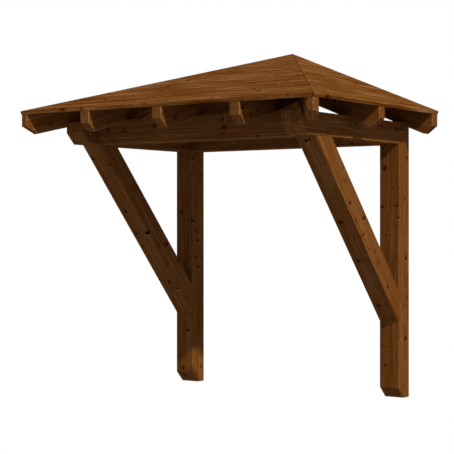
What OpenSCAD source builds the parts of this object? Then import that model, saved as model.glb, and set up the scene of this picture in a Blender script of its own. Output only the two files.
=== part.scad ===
// Wall-hung timber porch canopy with a half-pyramid hip roof.
// Axes: X runs along the wall, +Y points into the wall, +Z is up.
// The origin lies on the wall face, at the middle of the wall beam's back.

/* [Frame] */
// Side of the square posts, arms, braces, wall beam and king post
timber = 120; // [100:5:140]
// Distance between the centre lines of the two posts
post_spacing = 1426; // [1200:10:1500]
// Length of each post, from its foot up to the arm that rests on it
post_length = 1418; // [1200:5:1600]
// Length of each arm, from the wall to its free end
arm_length = 1140; // [1060:5:1200]
// Leg of the 45 degree chamfer at the post feet and the arm ends
end_chamfer = 60; // [20:5:90]

/* [Braces] */
// Distance from the wall to the brace's lower edge, along the arm's underside
brace_reach = 1002; // [800:2:1050]
// Height of the brace's lower edge above the post's foot
brace_foot = 427; // [250:1:600]

/* [Purlin] */
// Distance from the wall to the front of the purlin between the arms
purlin_reach = 1005; // [960:5:1040]
// Height of the purlin
purlin_h = 132; // [126:1:140]

/* [Roof] */
// Width across the rafter ends at the two side eaves
roof_width = 1900; // [1780:10:2000]
// Depth from the wall to the rafter ends at the front eave
roof_depth = 1315; // [1250:5:1380]
// Rise of the rafter tops from the eave to the apex
roof_rise = 383; // [340:1:420]
// Height of the rafter tops at the eave above the tops of the arms
eave_lift = 41; // [36:1:46]
// Thickness of the roof boards
board_t = 20; // [16:1:26]
// Overhang of the boards' upper edge past the rafter ends at the side eaves
board_overhang = 9; // [8:1:20]

/* [Rafters] */
// Width of every rafter
rafter_w = 60; // [50:2:70]
// Depth of the rafters, square to their slope
rafter_h = 120; // [112:1:126]
// Distance of the front jack rafters from the centre line
front_jack_x = 490; // [350:10:600]
// Distance of the side jack rafters from the wall
side_jack_y = 635; // [450:5:800]
// Height of the upright cut at a rafter's tail
tail_plumb = 64; // [45:1:80]
// Run of the undercut at the tail of a common rafter
tail_run = 56; // [40:1:70]
// Run of the undercuts at the tail of a hip rafter, along the hip
hip_tail_run = 72; // [60:1:85]
// Length taken off the sharp nose of a hip rafter's tail, along the hip
hip_nose = 2; // [1:0.5:6]

/* [Hidden] */

oak_dark = [0.30, 0.18, 0.09];
oak_mid = [0.38, 0.23, 0.11];
oak_light = [0.46, 0.29, 0.13];

// Heights
beam_top = timber / 2;
beam_bottom = -timber / 2;
foot_z = beam_bottom - post_length;
eave_z = beam_top + eave_lift;
apex_z = eave_z + roof_rise;

// Frame
post_x = post_spacing / 2;
bay_x = post_x - timber / 2;
brace_angle = atan2(brace_reach - timber, post_length - brace_foot);
brace_cut_y = timber / cos(brace_angle);
brace_cut_z = timber / sin(brace_angle);

// Roof planes
half_width = roof_width / 2;
front_slope = roof_rise / roof_depth;
side_slope = roof_rise / half_width;
front_pitch = atan(front_slope);
side_pitch = atan(side_slope);
front_plumb_h = rafter_h / cos(front_pitch);
side_plumb_h = rafter_h / cos(side_pitch);

// Hip lines in plan, and their direction along X and Y
hip_len = norm([half_width, roof_depth]);
hip_x = half_width / hip_len;
hip_y = roof_depth / hip_len;
hip_angle = atan2(roof_depth, half_width);
hip_slope = roof_rise / hip_len;
hip_tail_drop = front_plumb_h - tail_plumb - hip_tail_run * hip_slope;

// Distance of the boards' square-cut edge from the apex at the side eaves, above and below
side_edge_top = half_width + board_overhang;
side_edge_bottom = side_edge_top - board_t * sin(side_pitch);

// Reach of the cutting bodies past the roof
reach = 400;
plan_scale = 1 + reach / roof_depth;

// Section in the Y-Z plane, extruded along X from x0 over a width
module along_x(x0, width) {
    translate([x0, 0, 0])
        rotate([90, 0, 90])
            linear_extrude(width)
                children();
}

// Section in the X-Z plane, extruded along Y from y0 towards the wall
module along_y(y0, depth) {
    translate([0, y0 + depth, 0])
        rotate([90, 0, 0])
            linear_extrude(depth)
                children();
}

// Plan outline, extruded upwards through the whole roof
module through_roof() {
    translate([0, 0, foot_z])
        linear_extrude(apex_z - foot_z + reach)
            children();
}

// Space below the rafter tops, bounded by the three roof planes
module under_roof() {
    intersection() {
        along_x(-half_width - reach, roof_width + 2 * reach)
            polygon([
                [0, foot_z],
                [0, apex_z],
                [-roof_depth - reach, eave_z - reach * front_slope],
                [-roof_depth - reach, foot_z]
            ]);
        along_y(-roof_depth - reach, roof_depth + reach)
            polygon([
                [-half_width - reach, foot_z],
                [-half_width - reach, eave_z - reach * side_slope],
                [0, apex_z],
                [half_width + reach, eave_z - reach * side_slope],
                [half_width + reach, foot_z]
            ]);
    }
}

// Side view of a rafter: its run goes from the head to the eave at run = length
module rafter_profile(head, length, slope, plumb_h, undercut) {
    top_at_head = apex_z - head * slope;
    tail_z = apex_z - length * slope;
    heel = length - undercut;
    heel_z = apex_z - heel * slope - plumb_h;
    polygon([
        [head, top_at_head],
        [length, tail_z],
        [length, tail_z - tail_plumb],
        [heel, heel_z],
        [head, top_at_head - plumb_h]
    ]);
}

// Common rafter of the front plane, centred on x
module front_rafter(x, head) {
    along_x(x - rafter_w / 2, rafter_w)
        mirror([1, 0])
            rafter_profile(head, roof_depth, front_slope, front_plumb_h, tail_run);
}

// Common rafter of the right-hand plane, from y0 over its width
module side_rafter(y0, head) {
    along_y(y0, rafter_w)
        rafter_profile(head, half_width, side_slope, side_plumb_h, tail_run);
}

// Plan of the front bay, clear of the hip rafters by a given distance
module front_bay(clear) {
    translate([0, -clear / hip_x])
        scale(plan_scale)
            polygon([[0, 0], [half_width, -roof_depth], [-half_width, -roof_depth]]);
}

// Plan of the right-hand bay, clear of the hip rafter by a given distance
module side_bay(clear) {
    translate([clear / hip_y, 0])
        scale(plan_scale)
            polygon([[0, 0], [half_width, 0], [half_width, -roof_depth]]);
}

// Mirrors a right-hand piece to the left
module on_left() {
    mirror([1, 0, 0])
        children();
}

module post() {
    along_x(bay_x, timber)
        polygon([
            [0, beam_bottom],
            [-timber, beam_bottom],
            [-timber, foot_z + end_chamfer],
            [end_chamfer - timber, foot_z],
            [0, foot_z]
        ]);
}

module arm() {
    along_x(bay_x, timber)
        polygon([
            [0, beam_top],
            [-arm_length, beam_top],
            [-arm_length, beam_bottom + end_chamfer],
            [end_chamfer - arm_length, beam_bottom],
            [0, beam_bottom]
        ]);
}

module brace() {
    along_x(bay_x, timber)
        polygon([
            [-timber, foot_z + brace_foot],
            [-timber, foot_z + brace_foot + brace_cut_z],
            [brace_cut_y - brace_reach, beam_bottom],
            [-brace_reach, beam_bottom]
        ]);
}

module beam_between(front, height) {
    translate([-bay_x, -front, beam_bottom])
        cube([2 * bay_x, timber, height]);
}

// Post on the wall beam that carries the heads of the hips and wall rafters
module apex_post() {
    intersection() {
        translate([-timber / 2, -timber, beam_top])
            cube([timber, timber, apex_z]);
        under_roof();
    }
}

// Hip rafter with its top backed to both planes and its tail cut to both eaves
module hip_rafter() {
    difference() {
        intersection() {
            rotate([0, 0, -hip_angle])
                along_y(-rafter_w / 2, rafter_w)
                    hip_profile();
            under_roof();
            through_roof()
                translate([timber / 2, -roof_depth])
                    square([half_width - timber / 2, roof_depth - rafter_w]);
        }
        along_x(0, half_width + reach)
            mirror([1, 0])
                undercut_profile(roof_depth, hip_tail_run * hip_y);
        along_y(-roof_depth - reach, roof_depth)
            undercut_profile(half_width, hip_tail_run * hip_x);
        arm();
        beam_between(purlin_reach, purlin_h);
    }
}

// Side view of a hip rafter, carried up past the roof planes that trim its top
module hip_profile() {
    nose = hip_len - hip_nose;
    polygon([
        [0, apex_z + reach],
        [nose, apex_z + reach],
        [nose, apex_z - nose * hip_slope - front_plumb_h],
        [0, apex_z - front_plumb_h]
    ]);
}

// Wedge below the slanting line from a plumb cut's foot back to the hip's heel
module undercut_profile(length, run) {
    tail_z = eave_z - tail_plumb;
    polygon([
        [length + run, tail_z + hip_tail_drop],
        [length - 2 * run, tail_z - 2 * hip_tail_drop],
        [length + run, tail_z - 2 * hip_tail_drop]
    ]);
}

module wall_rafter() {
    difference() {
        side_rafter(-rafter_w, timber / 2);
        arm();
    }
}

module side_jack() {
    difference() {
        intersection() {
            side_rafter(-side_jack_y - rafter_w / 2, 0);
            through_roof()
                side_bay(rafter_w / 2);
        }
        arm();
    }
}

module front_jack() {
    difference() {
        intersection() {
            front_rafter(front_jack_x, 0);
            through_roof()
                front_bay(rafter_w / 2);
        }
        beam_between(purlin_reach, purlin_h);
    }
}

module front_common() {
    difference() {
        front_rafter(0, timber);
        beam_between(purlin_reach, purlin_h);
    }
}

// Section of a boarded plane, from the distances of its eave edge from the apex
module deck_profile(bottom_run, top_run, slope) {
    plumb_t = board_t / cos(atan(slope));
    polygon([
        [0, apex_z],
        [bottom_run, apex_z - bottom_run * slope],
        [top_run, apex_z - top_run * slope + plumb_t],
        [0, apex_z + plumb_t]
    ]);
}

// Side boards, cut off in front in the plane of the front eave
module side_deck() {
    intersection() {
        along_y(-roof_depth, roof_depth)
            deck_profile(side_edge_bottom, side_edge_top, side_slope);
        through_roof()
            side_bay(0);
    }
}

module left_post() {
    color(oak_mid) on_left() post();
}

module right_post() {
    color(oak_mid) post();
}

module left_arm() {
    color(oak_mid) on_left() arm();
}

module right_arm() {
    color(oak_mid) arm();
}

module left_brace() {
    color(oak_light) on_left() brace();
}

module right_brace() {
    color(oak_light) brace();
}

module wall_beam() {
    color(oak_dark) beam_between(timber, timber);
}

module front_purlin() {
    color(oak_dark) beam_between(purlin_reach, purlin_h);
}

module king_post() {
    color(oak_dark) apex_post();
}

module left_hip_rafter() {
    color(oak_dark) on_left() hip_rafter();
}

module right_hip_rafter() {
    color(oak_dark) hip_rafter();
}

module left_wall_rafter() {
    color(oak_mid) on_left() wall_rafter();
}

module right_wall_rafter() {
    color(oak_mid) wall_rafter();
}

module left_side_rafter() {
    color(oak_mid) on_left() side_jack();
}

module right_side_rafter() {
    color(oak_mid) side_jack();
}

module front_rafter_left() {
    color(oak_mid) on_left() front_jack();
}

module front_rafter_centre() {
    color(oak_mid) front_common();
}

module front_rafter_right() {
    color(oak_mid) front_jack();
}

// Front boards, cut plumb and flush with the rafter ends
module front_deck() {
    color(oak_light)
        intersection() {
            along_x(-half_width - reach, roof_width + 2 * reach)
                mirror([1, 0])
                    deck_profile(roof_depth, roof_depth, front_slope);
            through_roof()
                front_bay(0);
        }
}

module left_deck() {
    color(oak_light) on_left() side_deck();
}

module right_deck() {
    color(oak_light) side_deck();
}

left_post();
right_post();
left_arm();
right_arm();
left_brace();
right_brace();
wall_beam();
front_purlin();
king_post();
left_hip_rafter();
right_hip_rafter();
left_wall_rafter();
right_wall_rafter();
left_side_rafter();
right_side_rafter();
front_rafter_left();
front_rafter_centre();
front_rafter_right();
front_deck();
left_deck();
right_deck();
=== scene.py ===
# %% [markdown]
# A wall-hung porch canopy of stained softwood: two posts, two arms and two braces carry a purlin,
# and a half-pyramid of rafters and roof boards sits on top. The solids come ready-made from the
# CAD frame. This lesson dresses them: planed timbers with eased arrises, separate tongued and
# grooved roof boards, and a procedural wood stain.
# The frame is loaded first, and its box is kept for placing the floor.

# %% Load the frame
import random
from math import acos, atan2, ceil, cos, exp, pi, radians, sin

import bmesh
import bpy
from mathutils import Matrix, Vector


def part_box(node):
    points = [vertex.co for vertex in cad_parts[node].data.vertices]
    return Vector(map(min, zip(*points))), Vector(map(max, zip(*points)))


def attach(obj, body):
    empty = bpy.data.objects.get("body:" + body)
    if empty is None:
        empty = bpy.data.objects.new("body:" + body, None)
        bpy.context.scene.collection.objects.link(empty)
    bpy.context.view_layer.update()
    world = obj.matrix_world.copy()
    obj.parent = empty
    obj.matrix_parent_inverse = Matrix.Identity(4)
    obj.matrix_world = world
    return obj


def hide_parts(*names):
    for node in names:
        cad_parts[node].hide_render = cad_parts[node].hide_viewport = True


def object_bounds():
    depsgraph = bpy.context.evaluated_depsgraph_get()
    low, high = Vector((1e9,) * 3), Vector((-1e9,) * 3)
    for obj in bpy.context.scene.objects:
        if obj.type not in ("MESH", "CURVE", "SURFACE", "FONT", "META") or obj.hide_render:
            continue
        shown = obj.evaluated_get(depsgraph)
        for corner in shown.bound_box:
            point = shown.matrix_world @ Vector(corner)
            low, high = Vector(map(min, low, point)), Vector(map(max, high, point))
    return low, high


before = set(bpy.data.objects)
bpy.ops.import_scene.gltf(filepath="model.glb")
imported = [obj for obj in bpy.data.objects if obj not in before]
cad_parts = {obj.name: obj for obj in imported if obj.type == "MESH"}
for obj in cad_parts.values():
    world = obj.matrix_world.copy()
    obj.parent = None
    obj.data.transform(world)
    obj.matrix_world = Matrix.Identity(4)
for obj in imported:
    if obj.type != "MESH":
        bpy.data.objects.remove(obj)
cad_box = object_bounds()
scene = bpy.context.scene
print("CAD nodes:", len(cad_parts))

# %% [markdown]
# The camera stands level with the middle of the braces, to the right and in front of the canopy.
# It could be placed by eye, but lining up the timbers' corners with the picture gives its place,
# its turn and its long lens exactly.

# %% Camera
PICTURE_SIDE = 454
FOCAL_PIXELS = 1394.98
SENSOR_WIDTH = 36.0
CAMERA_PLACE = (4.4403, -7.0111, -0.5176)
CAMERA_TURN = 35.04
CAMERA_TILT = 89.96

camera_data = bpy.data.cameras.new("view_camera")
camera_data.sensor_width = SENSOR_WIDTH
camera_data.lens = FOCAL_PIXELS * SENSOR_WIDTH / PICTURE_SIDE
camera = bpy.data.objects.new("view_camera", camera_data)
camera.location = CAMERA_PLACE
camera.rotation_euler = (radians(CAMERA_TILT), 0.0, radians(CAMERA_TURN))
scene.collection.objects.link(camera)
scene.camera = camera
print("lens", round(camera_data.lens, 1), "mm")

# %% [markdown]
# Shader and geometry trees are easier to read as formulas than as lists of links. One small class
# wraps a socket: arithmetic on it adds Math nodes, and its make method adds any other node.
# The settings of a node go in before its sockets, because they decide which sockets it has.


# %% A socket that can be calculated with
class Wire:
    """An output socket in a node tree. Sums and products of wires become Math nodes."""

    def __init__(self, tree, socket=None):
        self.tree = tree
        self.socket = socket

    def make(self, kind, settings=None, values=None, output=0):
        """Add a node, and return one of its outputs."""
        node = self.tree.nodes.new(kind)
        for name, value in (settings or {}).items():
            if name == "stops":
                self.fill_ramp(node.color_ramp, value)
            else:
                setattr(node, name, value)
        for key, value in (values or {}).items():
            if isinstance(value, Wire):
                self.tree.links.new(value.socket, node.inputs[key])
            else:
                node.inputs[key].default_value = value
        return Wire(self.tree, node.outputs[output] if node.outputs else None)

    @staticmethod
    def fill_ramp(ramp, stops):
        """Set the colours of a ramp that runs from 0 to 1."""
        for place, colour in stops[1:-1]:
            ramp.elements.new(place).color = colour
        ramp.elements[0].color = stops[0][1]
        ramp.elements[-1].color = stops[-1][1]

    def beside(self, output):
        """Another output of the node that this wire comes from."""
        return Wire(self.tree, self.socket.node.outputs[output])

    def maths(self, operation, *terms):
        return self.make("ShaderNodeMath", {"operation": operation}, dict(enumerate(terms)))

    def vector_maths(self, operation, *terms, output=0):
        settings = {"operation": operation}
        return self.make("ShaderNodeVectorMath", settings, dict(enumerate(terms)), output)

    def __add__(self, other):
        return self.maths("ADD", self, other)

    __radd__ = __add__

    def __sub__(self, other):
        return self.maths("SUBTRACT", self, other)

    def __rsub__(self, other):
        return self.maths("SUBTRACT", other, self)

    def __mul__(self, other):
        return self.maths("MULTIPLY", self, other)

    __rmul__ = __mul__

    def __truediv__(self, other):
        return self.maths("DIVIDE", self, other)

    def __rtruediv__(self, other):
        return self.maths("DIVIDE", other, self)

    def part(self, axis):
        """One of the three numbers of a vector or colour."""
        return self.make("ShaderNodeSeparateXYZ", None, {0: self}, axis)

    def scaled(self, amount):
        """This vector, longer or shorter."""
        return self.make("ShaderNodeVectorMath", {"operation": "SCALE"}, {0: self, "Scale": amount})

    def fade(self, low, high):
        """A soft step from 0 at low to 1 at high; low may be the larger."""
        return self.make("ShaderNodeMapRange", {"interpolation_type": "SMOOTHSTEP"},
                         {"Value": self, "From Min": low, "From Max": high})


# %% [markdown]
# Warm sunlight falls from the right, from above and a little from the front. Shadow lines give its
# direction: the roof's edge leaves only a thin lit strip on the arm. A nearby lamp would spread the
# shadows apart, so this is a sun lamp, which keeps them parallel. Its width of about a degree and a
# half softens them a little with distance.

# %% Sun
TO_LIGHT = Vector((0.726, -0.298, 0.620))
SUN_SHARE = 0.74
SUN_WIDTH = 1.4
SUN_COLOUR = (1.0, 0.98, 0.93)

sun_data = bpy.data.lights.new("sun", "SUN")
sun_data.energy = SUN_SHARE * pi
sun_data.angle = radians(SUN_WIDTH)
sun_data.color = SUN_COLOUR
sun = bpy.data.objects.new("sun", sun_data)
sun.rotation_euler = TO_LIGHT.to_track_quat("Z", "Y").to_euler()
scene.collection.objects.link(sun)
print("sun share", SUN_SHARE, "from", [round(axis, 2) for axis in TO_LIGHT])

# %% [markdown]
# The rest of the light comes evenly from all round, a little cooler than the sun. A ring of lamps
# would throw shadows of its own, so the world itself glows. Rays that only show the surround meet
# plain white instead, which keeps the background white without more light on the wood.

# %% Surround
SURROUND_SHARE = 0.26
SURROUND_COLOUR = (0.97, 1.05, 1.42, 1.0)
WHITE = (1.0, 1.0, 1.0, 1.0)


def seen_directly(wire):
    """1 for rays that show the background, also in gloss or glass, and 0 for rays that light things."""
    rays = [wire.make("ShaderNodeLightPath", None, None, name)
            for name in ("Is Camera Ray", "Is Glossy Ray", "Is Transmission Ray")]
    return wire.maths("MAXIMUM", wire.maths("MAXIMUM", rays[0], rays[1]), rays[2])


world = bpy.data.worlds.new("pale_surround")
world.use_nodes = True
world.node_tree.nodes.clear()
sky = Wire(world.node_tree)
glow = sky.make("ShaderNodeBackground", None, {"Color": SURROUND_COLOUR, "Strength": SURROUND_SHARE})
white = sky.make("ShaderNodeBackground", None, {"Color": WHITE, "Strength": 1.0})
surround = sky.make("ShaderNodeMixShader", None, {0: seen_directly(sky), 1: glow, 2: white})
sky.make("ShaderNodeOutputWorld", None, {"Surface": surround})
scene.world = world
scene.view_settings.view_transform = "Standard"
print("surround share", SURROUND_SHARE)

# %% [markdown]
# The canopy hangs on a wall, so the ground lies well below the posts' feet. A large plane would
# show a horizon, so the floor is a round disc, just wide enough to catch the shadow.

# %% Floor
FLOOR_BELOW_FEET = 0.95
FLOOR_CENTRE_Y = -0.6
FLOOR_RADIUS = 3.2
FLOOR_CORNERS = 96

bm = bmesh.new()
bmesh.ops.create_circle(bm, cap_ends=True, segments=FLOOR_CORNERS, radius=FLOOR_RADIUS)
floor_mesh = bpy.data.meshes.new("floor")
bm.to_mesh(floor_mesh)
bm.free()
floor = bpy.data.objects.new("floor", floor_mesh)
floor.location = (0.0, FLOOR_CENTRE_Y, cad_box[0][2] - FLOOR_BELOW_FEET)
scene.collection.objects.link(floor)
print("floor at", round(floor.location.z, 3), "m")

# %% [markdown]
# The floor is plain, pale and matt. A bare disc would show its rim, so it fades into the white
# surround from the middle outwards. Only rays that show it directly meet it, and only from above,
# so that it doesn't throw extra light up under the roof.

# %% Floor finish
FLOOR_GREY = (0.85, 0.85, 0.85, 1.0)
FLOOR_LIFT = 0.38
FLOOR_FADES_FROM = 0.3 * FLOOR_RADIUS

floor_material = bpy.data.materials.new("pale_floor")
floor_material.use_nodes = True
floor_material.node_tree.nodes.clear()
ground = Wire(floor_material.node_tree)
place = ground.make("ShaderNodeTexCoord", None, None, "Object")
from_centre = ground.vector_maths("LENGTH", place, output="Value")
middle = from_centre.fade(FLOOR_RADIUS, FLOOR_FADES_FROM)
matt = ground.make("ShaderNodeBsdfDiffuse", None, {"Color": FLOOR_GREY})
lift = ground.make("ShaderNodeEmission", None, {"Color": WHITE, "Strength": FLOOR_LIFT})
lit_floor = ground.make("ShaderNodeAddShader", None, {0: matt, 1: lift})
clear = ground.make("ShaderNodeBsdfTransparent")
from_below = ground.make("ShaderNodeNewGeometry", None, None, "Backfacing")
shown = middle * seen_directly(ground) * (1.0 - from_below)
blend = ground.make("ShaderNodeMixShader", None, {0: shown, 1: clear, 2: lit_floor})
ground.make("ShaderNodeOutputMaterial", None, {"Surface": blend})
floor_mesh.materials.append(floor_material)
print("floor fades from", round(FLOOR_FADES_FROM, 2), "to", FLOOR_RADIUS, "m")

# %% [markdown]
# The finish is a dark walnut stain on planed softwood. A stain works like coloured glass: where it
# lies deeper, the wood turns redder as well as darker, because blue and green fade faster than red.
# A set of hand-mixed colours could imitate that, but one number at each point says it better: the
# depth of the stain. A colour ramp, worked out from one power for each channel, makes it a colour.

# %% Stain by depth
THIN_STAIN = (0.620, 0.385, 0.260)
FADE_POWERS = (1.0, 1.6, 2.9)
FULL_FADE = 2.62
RAMP_STEPS = 8


def stain_colour(depth):
    """The colour under a depth of stain from 0 to 1."""
    channels = [thin * exp(-FULL_FADE * power * depth)
                for thin, power in zip(THIN_STAIN, FADE_POWERS)]
    return (*channels, 1.0)


STAIN_STOPS = [(step / RAMP_STEPS, stain_colour(step / RAMP_STEPS))
               for step in range(RAMP_STEPS + 1)]
for depth, colour in (STAIN_STOPS[0], STAIN_STOPS[-1]):
    print("stain at depth", depth, [round(channel, 3) for channel in colour])

# %% [markdown]
# A picture of wood would repeat and stretch, so this wood is solid: every timber carries an
# attribute called grain that gives each point its place along and across the log it was sawn from.
# Streaks, fibre lines and short flecks are then the same noise, each stretched along the log to
# its own length and width.

# %% Marks along the fibres
STREAK_DETAIL = 3.0
STREAK_ROUGHNESS = 0.6


def attribute(wire, name, output="Fac"):
    """A value that the mesh carries for its material."""
    return wire.make("ShaderNodeAttribute", {"attribute_name": name}, None, output)


def stretched(place, along, across):
    """The same place, with its own scale along and across the fibres."""
    return place.vector_maths("MULTIPLY", place, (along, across, across))


def noise(place, detail=2.0, roughness=0.5, output=0):
    """Soft noise of about unit size, from 0 to 1."""
    values = {"Vector": place, "Scale": 1.0, "Detail": detail, "Roughness": roughness}
    return place.make("ShaderNodeTexNoise", None, values, output)


def streaks(place, length, width):
    """Noise round 0 in marks of this length along the fibres and this width across them."""
    marks = stretched(place, 1.0 / length, 1.0 / width)
    return noise(marks, STREAK_DETAIL, STREAK_ROUGHNESS) - 0.5


# %% [markdown]
# Knots are branches that once grew outwards from the heart of the log. A scatter of dots on each
# face would end abruptly at the edges, so the branches are laid out in the log itself: a Voronoi
# texture in height and bearing gives each its place, and the cell's random colour its thickness.
# Beside a knot the fibres part, which leaves a darker collar and a pale crescent.

# %% Knots
BRANCH_SPREAD = 1.6
BRANCH_ROOT = 0.03
BRANCH_TAPER = 0.5
KNOT_RARITY = 1.7
LEAST_KNOT = 0.001
PALEST_KNOT = 0.40
FORMED = (0.15, 0.40)
GROWN = (0.55, 0.75)
VIGOROUS = (0.50, 0.75)
# where each mark begins and is full, in radii of its knot
KNOT_RIM = (1.0, 0.6)
COLLAR_RIM = (3.0, 0.8)
CRESCENT_RIM = (1.9, 1.2)
CRESCENT_SIDE = (0.0, 0.9)


def knots_in(log, outward, heart, step, size):
    """Knots, the collars round them and the crescents beside them, each from 0 to 1."""
    bearing = outward.scaled(BRANCH_SPREAD / (BRANCH_ROOT + BRANCH_TAPER * heart))
    branch = log.vector_maths("MULTIPLY_ADD", log, (1.0 / step, 0.0, 0.0), bearing)
    cell = {"Vector": branch, "Scale": 1.0}
    distance = log.make("ShaderNodeTexVoronoi", None, cell, "Distance")
    chance = distance.beside("Color").part(0)
    vigour = distance.beside("Color").part(1)
    radius = size * chance.maths("POWER", chance, KNOT_RARITY) + LEAST_KNOT
    reach = distance / radius
    strength = PALEST_KNOT + (1.0 - PALEST_KNOT) * vigour
    knot = reach.fade(*KNOT_RIM) * chance.fade(*FORMED) * strength
    grown = chance.fade(*GROWN)
    collar = reach.fade(*COLLAR_RIM) * grown
    off_centre = log.vector_maths("SUBTRACT", branch, distance.beside("Position"))
    one_side = (off_centre.part(0) / radius).fade(*CRESCENT_SIDE)
    crescent = reach.fade(*CRESCENT_RIM) * one_side * (1.0 - knot) * grown * vigour.fade(*VIGOROUS)
    return {"knot": knot, "collar": collar, "crescent": crescent}


# %% [markdown]
# Each year a tree lays a pale ring of early wood and a dark line of late wood. Drawn lines would
# not meet at the edges of a face. Here the rings are circles round the log's heart, so long faces
# show lines and cut ends show arcs. The fibres wander from side to side, and the rings swell
# round the knots, as they do in a real log.

# %% Growth rings
WANDER_SCALES = (1.1, 5.0)
RIPPLE_SCALES = (2.5, 14.0)
RIPPLE_DETAIL = 3.0
RING_SWELL = 2.2
RING_RIPPLE = 1.4
LATE_STARTS = (0.25, 0.85)
LATE_ENDS = (1.0, 0.9)


def growth(log, sizes):
    """The wandering fibres, the late wood of the rings, and what the knots leave."""
    drift = noise(stretched(log, *WANDER_SCALES), output="Color")
    drift = log.vector_maths("SUBTRACT", drift, (0.5, 0.5, 0.5))
    sideways = (0.0, sizes["wander"], sizes["wander"])
    fibres = log.vector_maths("MULTIPLY_ADD", drift, sideways, log)
    outward = log.vector_maths("MULTIPLY", fibres, (0.0, 1.0, 1.0))
    heart = log.vector_maths("LENGTH", outward, output="Value")
    step, size, _ = sizes["knot"]
    grown = knots_in(log, outward, heart, step, size)
    ripple = noise(stretched(log, *RIPPLE_SCALES), RIPPLE_DETAIL)
    rings = heart / sizes["ring"] + RING_SWELL * grown["collar"] + RING_RIPPLE * ripple
    phase = log.maths("FRACT", rings)
    late = phase.fade(*LATE_STARTS) * phase.fade(*LATE_ENDS)
    return {"fibres": fibres, "late": late, **grown}


# %% [markdown]
# Late wood, flecks and knots are dark in themselves and show through the stain, which seems to lie
# deeper there. Along the arrises the stain is made thinner and paler, partly as wear and partly as
# a painted highlight on the chamfers. Mixing a colour for each of these marks would make the
# colours fight each other. Adding up one depth, from the broadest marks to the smallest, lets the
# ramp keep them all in one family.

# %% Depth of the stain
DEPTH = {"mean": 0.385, "tone": 0.04, "late": 0.08, "fine": 0.15, "collar": 0.05, "crescent": 0.17}
LATE_MEAN = 0.35
PATCH_SIZE = (0.33, 0.12)
WEAR_AND_HIGHLIGHT_SCALES = (9.0, 30.0)
WEAR_AND_HIGHLIGHT_PATCHES = (0.30, 0.60)
FLECK_EDGE = (0.20, 0.30)


def stain_depth(log, sizes, grown, fine):
    """How deep the stain lies, from the broadest marks to the smallest."""
    # the arrises are painted paler: partly wear, partly a painted highlight on the chamfers
    wear_and_highlight = attribute(log, "arris") * noise(stretched(log, *WEAR_AND_HIGHLIGHT_SCALES)).fade(*WEAR_AND_HIGHLIGHT_PATCHES)
    depth = DEPTH["mean"] + DEPTH["tone"] * (0.5 - attribute(log, "tone"))
    depth = depth + sizes["patch"] * streaks(log, *PATCH_SIZE)
    for marks in ("streak", "line"):
        length, width, strength = sizes[marks]
        depth = depth + strength * streaks(grown["fibres"], length, width)
    length, width, strength = sizes["fleck"]
    depth = depth + strength * streaks(grown["fibres"], length, width).fade(*FLECK_EDGE)
    depth = depth + DEPTH["late"] * (grown["late"] - LATE_MEAN)
    depth = depth + DEPTH["fine"] * fine - sizes["wear_and_highlight"] * wear_and_highlight
    _, _, darkness = sizes["knot"]
    depth = depth + darkness * grown["knot"]
    return depth + DEPTH["collar"] * grown["collar"] - DEPTH["crescent"] * grown["crescent"]


# %% [markdown]
# The frame, the rafters and the roof boards come from different logs: thick timbers show dark
# flecks and knots, thin boards long straight fibre. Three node trees made by hand would repeat the
# same nodes, so each wood is only a short list of its own sizes and strengths.

# %% Three woods
# ring and wander in metres; patch and arris paling (wear and painted highlight) are strengths
# streak, line and fleck: length and width in metres, and strength
# knot: spacing of branches along the log in metres, thickness as a share of that, and darkness
FRAME_WOOD = {
    "ring": 0.0055, "wander": 0.030, "patch": 0.07, "wear_and_highlight": 0.10,
    "streak": (0.75, 0.030, 0.18), "line": (0.40, 0.012, 0.44),
    "fleck": (0.024, 0.007, 0.48), "knot": (0.056, 0.31, 0.66),
}
RAFTER_WOOD = {
    "ring": 0.0050, "wander": 0.030, "patch": 0.07, "wear_and_highlight": 0.18,
    "streak": (0.75, 0.026, 0.18), "line": (0.40, 0.012, 0.40),
    "fleck": (0.024, 0.007, 0.28), "knot": (0.060, 0.28, 0.58),
}
BOARD_WOOD = {
    "ring": 0.0045, "wander": 0.012, "patch": 0.02, "wear_and_highlight": 0.13,
    "streak": (0.50, 0.060, 0.02), "line": (0.45, 0.026, 1.05),
    "fleck": (0.055, 0.024, 0.95), "knot": (0.070, 0.33, 0.42),
}
for wood_sizes in (FRAME_WOOD, RAFTER_WOOD, BOARD_WOOD):
    print("rings", wood_sizes["ring"], "m wide, branches every", wood_sizes["knot"][0], "m")

# %% [markdown]
# Planed wood is as uneven to the touch as to the eye: fibres and knots stand a little proud, and
# the lines of the rings lie a little lower. A bump map painted apart from the colour would not
# agree with it. Roughness and a shallow bump are therefore made from the same fibres, rings and
# knots as the depth of the stain. No highlight shows on the dark wood, so its gloss stays off.

# %% Wood stain
FINE_FIBRE = (0.14, 0.0016)
ROUGH = {"plain": 0.62, "fine": 0.16, "late": 0.10, "knot": 0.12, "endgrain": 0.12}
RELIEF = {"fine": 0.5, "late": 0.45, "knot": 0.6}
BUMP_STRENGTH = 0.35
BUMP_DEPTH = 0.0006
GLOSS = 0.0


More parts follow.
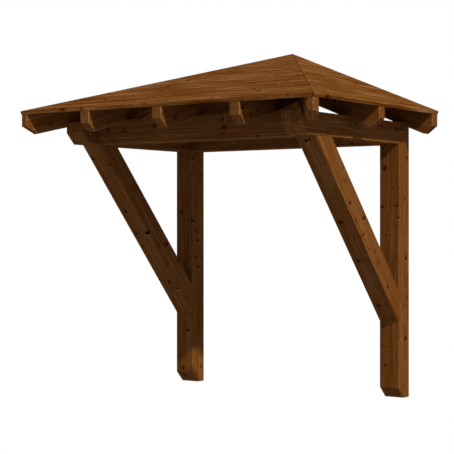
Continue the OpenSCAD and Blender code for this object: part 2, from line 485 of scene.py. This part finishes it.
def stained_wood(name, sizes):
    """Stained softwood that reads the attributes grain, tone, endgrain and arris."""
    material = bpy.data.materials.new(name)
    material.use_nodes = True
    material.node_tree.nodes.clear()
    wood = Wire(material.node_tree)
    log = attribute(wood, "grain", "Vector")
    fine = streaks(log, *FINE_FIBRE)
    grown = growth(log, sizes)
    late = grown["late"]
    knot = grown["knot"]
    depth = stain_depth(log, sizes, grown, fine)
    colour = wood.make("ShaderNodeValToRGB", {"stops": STAIN_STOPS}, {"Fac": depth})

    rough = ROUGH["plain"] + ROUGH["fine"] * fine + ROUGH["late"] * late
    rough = rough - ROUGH["knot"] * knot + ROUGH["endgrain"] * attribute(wood, "endgrain")
    relief = RELIEF["fine"] * fine - RELIEF["late"] * late + RELIEF["knot"] * knot
    bump = wood.make("ShaderNodeBump", None,
                     {"Strength": BUMP_STRENGTH, "Distance": BUMP_DEPTH, "Height": relief})
    skin = wood.make("ShaderNodeBsdfPrincipled", None,
                     {"Base Color": colour, "Roughness": rough, "Normal": bump,
                      "Specular IOR Level": GLOSS})
    wood.make("ShaderNodeOutputMaterial", None, {"Surface": skin})
    print(name, len(material.node_tree.nodes), "nodes")
    return material


frame_stain = stained_wood("frame_stain", FRAME_WOOD)
rafter_stain = stained_wood("rafter_stain", RAFTER_WOOD)
board_stain = stained_wood("board_stain", BOARD_WOOD)

# %% [markdown]
# Planed building timber has its arrises taken off with a small 45 degree chamfer, so that edges
# don't splinter, and its free ends are eased in the same way. A Bevel modifier would also bevel
# the inner corners of the notches and open the seats where one timber rests on another. Two small
# helpers therefore choose the edges: one finds the grain, which runs along the longest edge of
# every timber here, and the other tells an arris from the rest.

# %% Grain and arrises
DOWN_AND_OUT = Vector((0.0, -0.1, -1.0))
NEARLY_UPRIGHT = 0.9
SHARP = radians(20.0)
WITH_GRAIN = 0.97
FACING_UP = 0.7
WALL_CLEARANCE = 0.001


def grain_frame(bm):
    """The direction of the longest edge, down or out from the wall, and two directions across it."""
    longest = max(bm.edges, key=lambda edge: edge.calc_length())
    along = (longest.verts[1].co - longest.verts[0].co).normalized()
    if along.dot(DOWN_AND_OUT) < 0.0:
        along.negate()
    aside = Vector((1, 0, 0)) if abs(along.z) > NEARLY_UPRIGHT else Vector((0, 0, 1))
    across = along.cross(aside).normalized()
    return along, across, along.cross(across)


def is_arris(edge, along, free_from):
    """An outer edge with the grain or at the free end, clear of the wall and of what lies on top."""
    first, second = edge.verts
    outer = edge.is_convex and edge.calc_face_angle(0.0) > SHARP
    with_grain = abs((second.co - first.co).normalized().dot(along)) > WITH_GRAIN
    at_end = min(first.co.dot(along), second.co.dot(along)) > free_from
    carrying = max(face.normal.z for face in edge.link_faces) > FACING_UP
    against_wall = min(first.co.y, second.co.y) > -WALL_CLEARANCE
    return outer and (with_grain or at_end) and not carrying and not against_wall


# %% [markdown]
# A timber's shape is already right in the CAD frame, so a copy is dressed rather than drawn again.
# The CAD mesh is loose triangles, which a bevel would tear apart: the copy is welded and its flat
# faces are joined before its arrises are chamfered. The chamfers are marked for the finish, which
# stains them paler there, partly as wear and partly as a painted highlight.

# %% Chamfered copies
WELD = 1e-5
FLAT = radians(1.0)
FREE_LENGTH = 0.10


def planed_copy(node, chamfer, has_free_end):
    """A welded copy of a CAD timber with chamfered arrises, and the directions of its grain."""
    bm = bmesh.new()
    bm.from_mesh(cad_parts[node].data)
    arris = bm.faces.layers.float.new("arris")
    bmesh.ops.remove_doubles(bm, verts=bm.verts, dist=WELD)
    bmesh.ops.dissolve_limit(bm, angle_limit=FLAT, verts=bm.verts, edges=bm.edges)
    axes = grain_frame(bm)
    along = axes[0]
    tip = max(vert.co.dot(along) for vert in bm.verts)
    free_from = tip - FREE_LENGTH if has_free_end else tip
    arrises = [edge for edge in bm.edges if is_arris(edge, along, free_from)]
    eased = bmesh.ops.bevel(bm, geom=arrises, offset=chamfer, offset_type="OFFSET", segments=1,
                            affect="EDGES", clamp_overlap=True)
    for face in eased["faces"]:
        face[arris] = 1.0
    bm.normal_update()
    return bm, axes


# %% [markdown]
# Every timber is sawn from its own stretch of a log, nearer to the heart or further from it. A UV
# map would show each face a picture of its own, and the grain would break at every edge. Storing
# the place in the log with each corner lets the grain run through the solid and come out as end
# grain where the timber is cut.

# %% A place in the log
LOG_LENGTH = 40.0


def remember_log(bm, node, axes, heart_reach, dice):
    """Store each corner's place in the log and its tone, and how far each face is end grain."""
    grain = bm.verts.layers.float_vector.new("grain")
    tones = bm.verts.layers.float.new("tone")
    endgrain = bm.faces.layers.float.new("endgrain")
    low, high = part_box(node)
    middle = (low + high) / 2
    shift = Vector((dice.uniform(0, LOG_LENGTH),
                    dice.uniform(-1, 1) * heart_reach,
                    dice.uniform(-1, 1) * heart_reach))
    tone = dice.random()
    for vert in bm.verts:
        place = vert.co - middle
        vert[grain] = Vector([place.dot(axis) for axis in axes]) + shift
        vert[tones] = tone
    for face in bm.faces:
        face[endgrain] = abs(face.normal.dot(axes[0])) ** 2


# %% [markdown]
# The frame is heavy square timber, and the rafters are lighter and stand on edge. Posts, arms and
# rafters end free, while braces, beams and the king post are held at both ends. Every timber could
# be written out in turn, but a list of names and two kinds say all that differs. One fixed seed
# picks each timber's stretch of log, so that every run gives the same knots in the same places.

# %% Frame and rafters
STEADY_SEED = 17
SIDES = ("left_", "right_")
FRAME_TIMBER = {"stain": frame_stain, "slot": "frame_timber",
                "chamfer": 0.0025, "heart_reach": 0.040}
RAFTER_TIMBER = {"stain": rafter_stain, "slot": "rafter_timber",
                 "chamfer": 0.003, "heart_reach": 0.055}


def hand_over(piece, node):
    """Attach a piece to the root body, and hide the CAD node that it stands in for."""
    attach(piece, "root")
    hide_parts(node)


def planed_timber(node, kind, has_free_end, dice):
    """One finished timber in the place of its CAD solid."""
    bm, axes = planed_copy(node, kind["chamfer"], has_free_end)
    remember_log(bm, node, axes, kind["heart_reach"], dice)
    mesh = bpy.data.meshes.new(node + "_timber")
    bm.to_mesh(mesh)
    bm.free()
    mesh.materials.append(kind["stain"])
    timber = bpy.data.objects.new(mesh.name, mesh)
    scene.collection.objects.link(timber)
    hand_over(timber, node)


hanging = [side + part for part in ("post", "arm") for side in SIDES]
held = [side + "brace" for side in SIDES] + ["wall_beam", "front_purlin", "king_post"]
rafters = [side + part for part in ("hip_rafter", "wall_rafter", "side_rafter") for side in SIDES]
rafters += ["front_rafter_" + place for place in ("left", "centre", "right")]

dice = random.Random(STEADY_SEED)
for node in hanging + held:
    planed_timber(node, FRAME_TIMBER, node in hanging, dice)
for node in rafters:
    planed_timber(node, RAFTER_TIMBER, True, dice)
print("timbers:", len(hanging + held), "in the frame,", len(rafters), "rafters")

# %% [markdown]
# The roof is covered with tongued and grooved boards that run level, row above row from the eave
# to the apex, and are cut to a mitre over the hips. All three planes follow the same rule, so a
# few sizes describe each. They could be typed in, but measured on the CAD plane they stay right
# when the frame changes.

# %% Measure a roof plane
PARALLEL = 0.99
LOWER_HALF = 0.5


def slope_of(node):
    """The sizes of a CAD roof plane that its boards need."""
    bm = bmesh.new()
    bm.from_mesh(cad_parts[node].data)
    top = max(bm.faces, key=lambda face: face.calc_area() * (face.normal.z > 0))
    under = max(bm.faces, key=lambda face: face.calc_area() * (face.normal.z < 0))
    normal = top.normal.copy()
    thickness = (top.verts[0].co - under.verts[0].co).dot(normal)
    pitch = acos(normal.z)
    downhill = Vector((normal.x, normal.y, 0.0)).normalized()
    level = Vector((-downhill.y, downhill.x, 0.0))
    runs = [(vert.co.dot(downhill), abs(vert.co.dot(level))) for vert in bm.verts]
    beneath = [vert.co.dot(downhill) for face in bm.faces
               if face.normal.dot(normal) < -PARALLEL for vert in face.verts]
    bm.free()
    far = LOWER_HALF * max(run for run, _ in runs)
    return {
        "Thickness": thickness,
        "Pitch": pitch,
        "Apex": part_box(node)[1].z - thickness / cos(pitch),
        "Eave": max(beneath) / cos(pitch),
        "Spread": max(side / run for run, side in runs if run > far),
        "Turn": atan2(downhill.x, -downhill.y),
    }


for node in ("front_deck", "right_deck", "left_deck"):
    print(node, {name: round(value, 4) for name, value in slope_of(node).items()})

# %% [markdown]
# A row of boards is a rule, not a shape, so a Geometry Nodes tree lays them. The tree works in the
# slope: X runs along the board, from -1 to 1 between the hips, minus Y is the way down from the
# apex, and Z is the height above the rafters. Its sizes are named inputs, so that one tree serves
# all three planes. Two of them, the ends, say whether a board runs to a hip or stops at the wall.

# %% A tree with named inputs
TREE_INPUTS = {"Rows": "NodeSocketInt", "Seed": "NodeSocketInt", "Stain": "NodeSocketMaterial"}
for name in ("Cover", "Joint", "Chamfer", "Tongue", "Mitre", "Left end", "Right end",
             "Thickness", "Pitch", "Apex", "Eave", "Spread", "Turn"):
    TREE_INPUTS[name] = "NodeSocketFloat"

tree = bpy.data.node_groups.new("roof_boards", "GeometryNodeTree")
for name, kind in TREE_INPUTS.items():
    tree.interface.new_socket(name, in_out="INPUT", socket_type=kind)
tree.interface.new_socket("Boards", in_out="OUTPUT", socket_type="NodeSocketGeometry")
roof = Wire(tree)


def given(name):
    """One of the tree's inputs."""
    return roof.make("NodeGroupInput", None, None, name)


def point(x, y, z):
    return roof.make("ShaderNodeCombineXYZ", None, {0: x, 1: y, 2: z})


print("roof tree:", len(TREE_INPUTS), "inputs")

# %% [markdown]
# Each board has a tongue along one edge, a groove along the other, and a small chamfer on its
# arrises that shows as a fine V at every joint. Plain planks side by side would let light through
# the joints, and planks without a gap would share their corners and no longer be closed boards.
# So the real section is drawn: the points of a Curve Circle are moved to its sixteen corners.

# %% Section of a board
TONGUE_SHARE = 1.0 / 3.0


def pick(choices):
    """The choice whose number is the index of the point."""
    switch = roof.make("GeometryNodeIndexSwitch", {"data_type": "VECTOR"}).socket.node
    while len(switch.index_switch_items) < len(choices):
        switch.index_switch_items.new()
    for number, choice in enumerate([roof.make("GeometryNodeInputIndex")] + choices):
        tree.links.new(choice.socket, switch.inputs[number])
    return Wire(tree, switch.outputs[0])


side = 0.5 * (given("Cover") - given("Joint"))
top = 0.5 * given("Thickness")
cheek = TONGUE_SHARE * top
lip = cheek + 0.5 * given("Joint")
# the upper half, from the groove's floor over the top to the tongue's tip
upper = [
    (given("Tongue") - side, lip),
    (0.0 - side, lip),
    (0.0 - side, top - given("Chamfer")),
    (given("Chamfer") - side, top),
    (side - given("Chamfer"), top),
    (side, top - given("Chamfer")),
    (side, cheek),
    (side + given("Tongue"), cheek),
]
lower = [(x, 0.0 - y) for x, y in reversed(upper)]
corners = [point(x, y, 0.0) for x, y in upper + lower]
ring = roof.make("GeometryNodeCurvePrimitiveCircle", {"mode": "RADIUS"}, {"Resolution": len(corners)})
section = roof.make("GeometryNodeSetPosition", None, {"Geometry": ring, "Position": pick(corners)})
print("board section:", len(corners), "corners")

# %% [markdown]
# The boards are laid from the eave upwards. Modelling each row by hand would take a mesh for every
# one, so a single board of unit half length is drawn out along a line and placed on a column of
# points. Every row draws its own tone and its own place in the log, so no two are alike.

# %% Rows of boards
LOG_LOW = (0.0, -0.05, 0.03)
LOG_HIGH = (LOG_LENGTH, 0.05, 0.11)


def store(geometry, name, value, kind="FLOAT", domain="POINT"):
    """Keep a value with the geometry under a name."""
    return roof.make("GeometryNodeStoreNamedAttribute", {"data_type": kind, "domain": domain},
                     {"Geometry": geometry, "Name": name, "Value": value})


left = point(given("Left end"), 0.0, 0.0)
right = point(given("Right end"), 0.0, 0.0)
line = roof.make("GeometryNodeCurvePrimitiveLine", None, {"Start": left, "End": right})
board = roof.make("GeometryNodeCurveToMesh", None,
                  {"Curve": line, "Profile Curve": section, "Fill Caps": True})

first = point(0.0, side - given("Eave"), top)
upwards = point(0.0, given("Cover"), 0.0)
rows = roof.make("GeometryNodeMeshLine", None,
                 {"Count": given("Rows"), "Start Location": first, "Offset": upwards})
boards = roof.make("GeometryNodeInstanceOnPoints", None, {"Points": rows, "Instance": board})

row = roof.make("GeometryNodeInputIndex")
tone = roof.make("FunctionNodeRandomValue", {"data_type": "FLOAT"},
                 {"ID": row, "Seed": given("Seed")}, 1)
boards = store(boards, "tone", tone, domain="INSTANCE")
heart = roof.make("FunctionNodeRandomValue", {"data_type": "FLOAT_VECTOR"},
                  {"Min": LOG_LOW, "Max": LOG_HIGH, "ID": row, "Seed": given("Seed")})
place = roof.make("GeometryNodeInputPosition")
row_place = roof.vector_maths("MULTIPLY", place, (0.0, 1.0, 0.0))
heart = roof.vector_maths("SUBTRACT", heart, row_place)
boards = store(boards, "heart", heart, "FLOAT_VECTOR", "INSTANCE")
boards = roof.make("GeometryNodeRealizeInstances", None, {"Geometry": boards})
print("roof tree:", len(tree.nodes), "nodes up to the rows")

# %% [markdown]
# On the roof every board ends on the hip line, so each row is shorter than the one below it.
# Cutting the rows with a Boolean would be slow and leave poor faces. It is simpler to work out, for
# each corner, how far it lies from the apex and to spread the ends to the hips from there. Corners
# past the eave or the apex are held there, which trims the first and the last row.

# %% From the slope to the hips
pitch = given("Pitch")
rise = place.part(2)
down = roof.maths("MINIMUM", 0.0 - place.part(1), given("Eave"))
down = roof.maths("MAXIMUM", down, 0.0 - rise * roof.maths("TANGENT", pitch))
run = down * roof.maths("COSINE", pitch) + rise * roof.maths("SINE", pitch)
height = given("Apex") - down * roof.maths("SINE", pitch) + rise * roof.maths("COSINE", pitch)
half = roof.maths("MAXIMUM", given("Spread") * run - given("Mitre"), 0.0)
along = place.part(0) * half
print("roof tree:", len(tree.nodes), "nodes up to the hips")

# %% [markdown]
# The stain reads the same four attributes on boards as on timbers. They could be stored after the
# boards are in place, but in the slope the directions are still simple: end grain faces along X,
# and an arris is the only face that slants between Y and Z. Then the corners move to the roof,
# and what has shrunk to nothing at the apex is merged.

# %% Grain, place and finish of the boards
MERGE_WITHIN = 0.0002

heart = roof.make("GeometryNodeInputNamedAttribute", {"data_type": "FLOAT_VECTOR"}, {"Name": "heart"})
grain = roof.vector_maths("ADD", point(along, place.part(1), rise), heart)
boards = store(boards, "grain", grain, "FLOAT_VECTOR")
facing = roof.make("GeometryNodeInputNormal")
slant = 2.0 * roof.maths("ABSOLUTE", facing.part(1) * facing.part(2))
# slanting chamfer faces are marked to be stained paler: wear and a painted highlight
boards = store(boards, "arris", slant, domain="FACE")
boards = store(boards, "endgrain", roof.maths("ABSOLUTE", facing.part(0)), domain="FACE")

boards = roof.make("GeometryNodeSetPosition", None,
                   {"Geometry": boards, "Position": point(along, 0.0 - run, height)})
boards = roof.make("GeometryNodeTransform", None,
                   {"Geometry": boards, "Rotation": point(0.0, 0.0, given("Turn"))})
boards = roof.make("GeometryNodeMergeByDistance", {"mode": "CONNECTED"},
                   {"Geometry": boards, "Distance": MERGE_WITHIN})
boards = roof.make("GeometryNodeSetShadeSmooth", None, {"Geometry": boards, "Shade Smooth": False})
boards = roof.make("GeometryNodeSetMaterial", None, {"Geometry": boards, "Material": given("Stain")})
roof.make("NodeGroupOutput", None, {"Boards": boards})
print("roof tree:", len(tree.nodes), "nodes")

# %% [markdown]
# On the real roof the boards are laid a little long, and one plumb saw cut along the front eave
# ends all three planes flush with the rafters. A Boolean with a large box could do it, but a plane
# is all that a saw needs: the mesh is bisected there and the cut is closed with new end faces.

# %% A plumb saw cut
FRONT_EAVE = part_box("front_deck")[0]
OUTWARDS = (0.0, -1.0, 0.0)
SAW_WITHIN = 1e-6
STRAIGHT = radians(0.5)


def saw_plumb(mesh, along):
    """Saw the boards off in the upright plane of the front eave, and close the cut."""
    bm = bmesh.new()
    bm.from_mesh(mesh)
    endgrain = bm.faces.layers.float["endgrain"]
    cut = bmesh.ops.bisect_plane(bm, geom=bm.verts[:] + bm.edges[:] + bm.faces[:], dist=SAW_WITHIN,
                                 plane_co=FRONT_EAVE, plane_no=OUTWARDS, clear_outer=True)
    rim = [piece for piece in cut["geom_cut"] if isinstance(piece, bmesh.types.BMEdge)]
    sawn = bmesh.ops.holes_fill(bm, edges=rim, sides=0)["faces"]
    bmesh.ops.recalc_face_normals(bm, faces=bm.faces)
    for face in sawn:
        face[endgrain] = abs(face.normal.dot(along))
    # corners left in the middle of a straight edge would make faces without area
    bmesh.ops.dissolve_limit(bm, angle_limit=STRAIGHT, verts=bm.verts, edges=bm.edges)
    bm.to_mesh(mesh)
    bm.free()
    print(mesh.name, "sawn faces", len(sawn))


# %% [markdown]
# Each roof plane is the same tree with its own numbers. The modifier could stay live, but a piece
# that is handed on should no longer depend on it, so the result is converted to a plain mesh and
# sawn off at the eave.

# %% Lay the roof
COVER = 0.096
JOINT = 0.0004
TONGUE = 0.006
CHAMFER = 0.003
MITRE = 0.002
AT_WALL = 0.0
LEFT_HIP = -1.0
RIGHT_HIP = 1.0
# the left end, the right end and the seed of each plane
PLANES = {
    "front_deck": (LEFT_HIP, RIGHT_HIP, 21),
    "right_deck": (LEFT_HIP, AT_WALL, 22),
    "left_deck": (AT_WALL, RIGHT_HIP, 23),
}


def lay_boards(node, left_end, right_end, seed):
    """The boards of one roof plane, in the place of its CAD solid."""
    sizes = slope_of(node)
    values = dict(sizes, Rows=ceil(sizes["Eave"] / COVER), Seed=seed, Stain=board_stain, Cover=COVER,
                  Joint=JOINT, Chamfer=CHAMFER, Tongue=TONGUE, Mitre=MITRE)
    values["Left end"] = left_end
    values["Right end"] = right_end
    boards = bpy.data.objects.new(node + "_boards", bpy.data.meshes.new(node + "_empty"))
    scene.collection.objects.link(boards)
    modifier = boards.modifiers.new("roof_boards", "NODES")
    modifier.node_group = tree
    for item in tree.interface.items_tree:
        if item.in_out == "INPUT":
            modifier[item.identifier] = values[item.name]
    bpy.context.view_layer.update()
    laid = boards.evaluated_get(bpy.context.evaluated_depsgraph_get())
    mesh = bpy.data.meshes.new_from_object(laid)
    mesh.name = boards.name
    boards.modifiers.clear()
    boards.data = mesh
    saw_plumb(mesh, Vector((cos(sizes["Turn"]), sin(sizes["Turn"]), 0.0)))
    hand_over(boards, node)
    print(boards.name, values["Rows"], "rows", len(mesh.polygons), "faces")


for node, (left_end, right_end, seed) in PLANES.items():
    lay_boards(node, left_end, right_end, seed)
